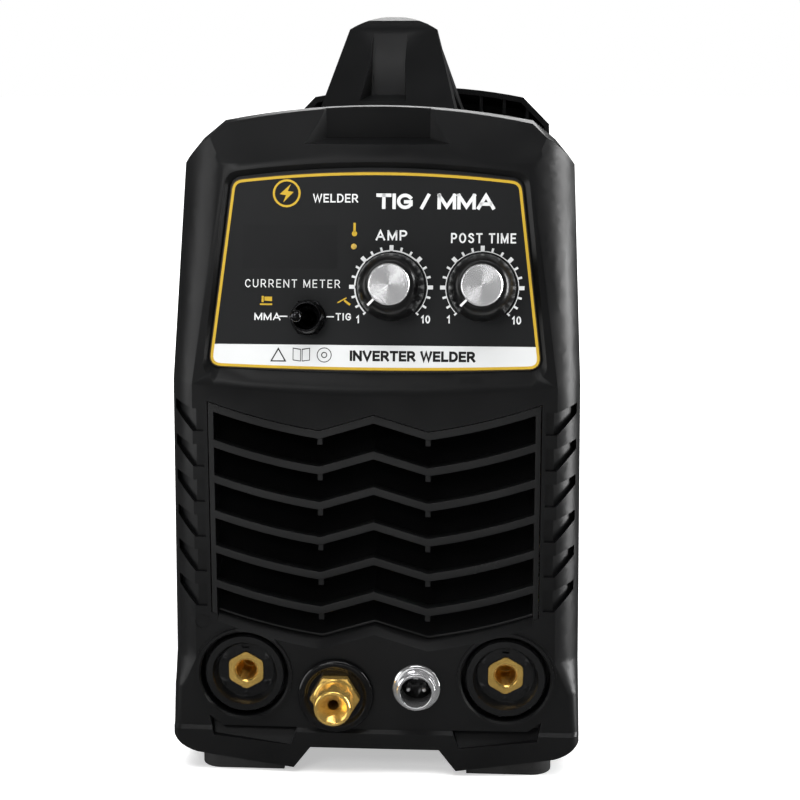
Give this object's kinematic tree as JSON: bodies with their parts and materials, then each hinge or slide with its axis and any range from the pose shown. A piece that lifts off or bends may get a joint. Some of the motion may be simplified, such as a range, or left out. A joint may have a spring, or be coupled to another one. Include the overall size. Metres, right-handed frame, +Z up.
{
  "type": "tig welder",
  "caption": "Portable inverter tig welding machine with bridge handle, leaning control panel, louvred front and output sockets.",
  "frame": {"origin": "under the machine's middle, on the surface it stands on", "axes": "+X to the viewer's right seen from the front, +Y from the front face to the back, +Z up"},
  "size_m": [0.1804, 0.4581, 0.331],
  "materials": {
    "bezel_plastic": "satin black moulding",
    "faceplate_print": "matte charcoal print",
    "display_glass": "dark tinted window",
    "lamp_lens": "amber lens",
    "knob_plastic": "satin black",
    "spun_aluminium": "spun face",
    "black_metal": "black plated",
    "toggle_metal": "black plated, glossy",
    "component_plastic": "matte black",
    "plated_steel": "zinc plated",
    "socket_plastic": "satin black",
    "brass": "machined",
    "gloss_black": "glossy black",
    "chrome_plate": "polished",
    "powder_coat": "fine textured powder coat",
    "foot_rubber": "matte",
    "breaker_grey": "light grey",
    "hose_rubber": "braided",
    "circuit_board": "solder mask",
    "bare_aluminium": "mill finish",
    "capacitor_sleeve": "shrink sleeve",
    "ferrite": "sintered",
    "copper_wire": "bare copper",
    "potting": "cast resin"
  },
  "bodies": {
    "housing": {"amp_potentiometer": "plated_steel", "base_chassis": "plated_steel", "bezel_screws": "plated_steel", "board_standoffs": "brass", "breaker_body": "breaker_grey", "bulk_capacitors": "capacitor_sleeve", "cable_gland": "component_plastic", "case_cover": "powder_coat", "control_board": "circuit_board", "control_faceplate": "faceplate_print", "control_socket_insert": "socket_plastic", "control_socket_pins": "chrome_plate", "control_socket_shell": "chrome_plate", "current_meter_display": "display_glass", "earth_stud": "brass", "fan_frame": "component_plastic", "fan_guard": "chrome_plate", "front_bezel": "bezel_plastic", "gas_connector": "brass", "gas_connector_nut": "brass", "gas_connector_washer": "gloss_black", "gas_hose": "hose_rubber", "gas_inlet": "brass", "gas_valve_body": "brass", "gas_valve_coil": "component_plastic", "handle": "bezel_plastic", "handle_screws": "plated_steel", "heatsinks": "bare_aluminium", "hf_coil": "potting", "louvre_grille": "bezel_plastic", "m4_screws": "plated_steel", "main_transformer": "ferrite", "mode_switch_body": "component_plastic", "mode_switch_nut": "black_metal", "mode_toggle_boot": "black_metal", "output_busbars": "copper_wire", "output_choke": "copper_wire", "overheat_lamp": "lamp_lens", "post_time_potentiometer": "plated_steel", "potentiometer_nuts": "plated_steel", "power_board": "circuit_board", "power_transistors": "component_plastic", "rear_bezel": "bezel_plastic", "rubber_feet": "foot_rubber", "socket_contact_left": "brass", "socket_contact_right": "brass", "socket_insulator_left": "socket_plastic", "socket_insulator_right": "socket_plastic", "socket_key_pins": "plated_steel", "socket_lock_rings": "socket_plastic"},
    "amp_dial": {"amp_knob": "knob_plastic", "amp_knob_cap": "spun_aluminium", "amp_shaft": "plated_steel"},
    "post_time_dial": {"post_time_knob": "knob_plastic", "post_time_knob_cap": "spun_aluminium", "post_time_shaft": "plated_steel"},
    "toggle": {"mode_toggle_lever": "toggle_metal"},
    "breaker_switch": {"breaker_lever": "component_plastic"},
    "fan": {"fan_rotor": "component_plastic"},
    "valve_plunger": {"gas_valve_plunger": "plated_steel"}
  },
  "joints": [
    {"name": "amp_turn", "type": "hinge", "parent": "housing", "child": "amp_dial", "pos_m": [0.0068, -0.2012, 0.21638], "axis": [0, 0.9781, -0.2079], "range_deg": [0, 270]},
    {"name": "post_time_turn", "type": "hinge", "parent": "housing", "child": "post_time_dial", "pos_m": [0.0456, -0.2012, 0.21638], "axis": [0, 0.9781, -0.2079], "range_deg": [0, 270]},
    {"name": "mode_toggle_flip", "type": "hinge", "parent": "housing", "child": "toggle", "pos_m": [-0.0284, -0.19773, 0.20194], "axis": [0, 0.2079, 0.9781], "range_deg": [0, 22]},
    {"name": "breaker_flip", "type": "hinge", "parent": "housing", "child": "breaker_switch", "pos_m": [0.032, 0.208, 0.222], "axis": [1, 0, 0], "range_deg": [0, 50]},
    {"name": "fan_spin", "type": "hinge", "parent": "housing", "child": "fan", "pos_m": [0, 0.195, 0.132], "axis": [0, 1, 0], "continuous": true},
    {"name": "valve_lift", "type": "slide", "parent": "housing", "child": "valve_plunger", "axis": [0, 0, 1], "range_m": [0, 0.0025], "stiffness_N_per_m": 400}
  ]
}
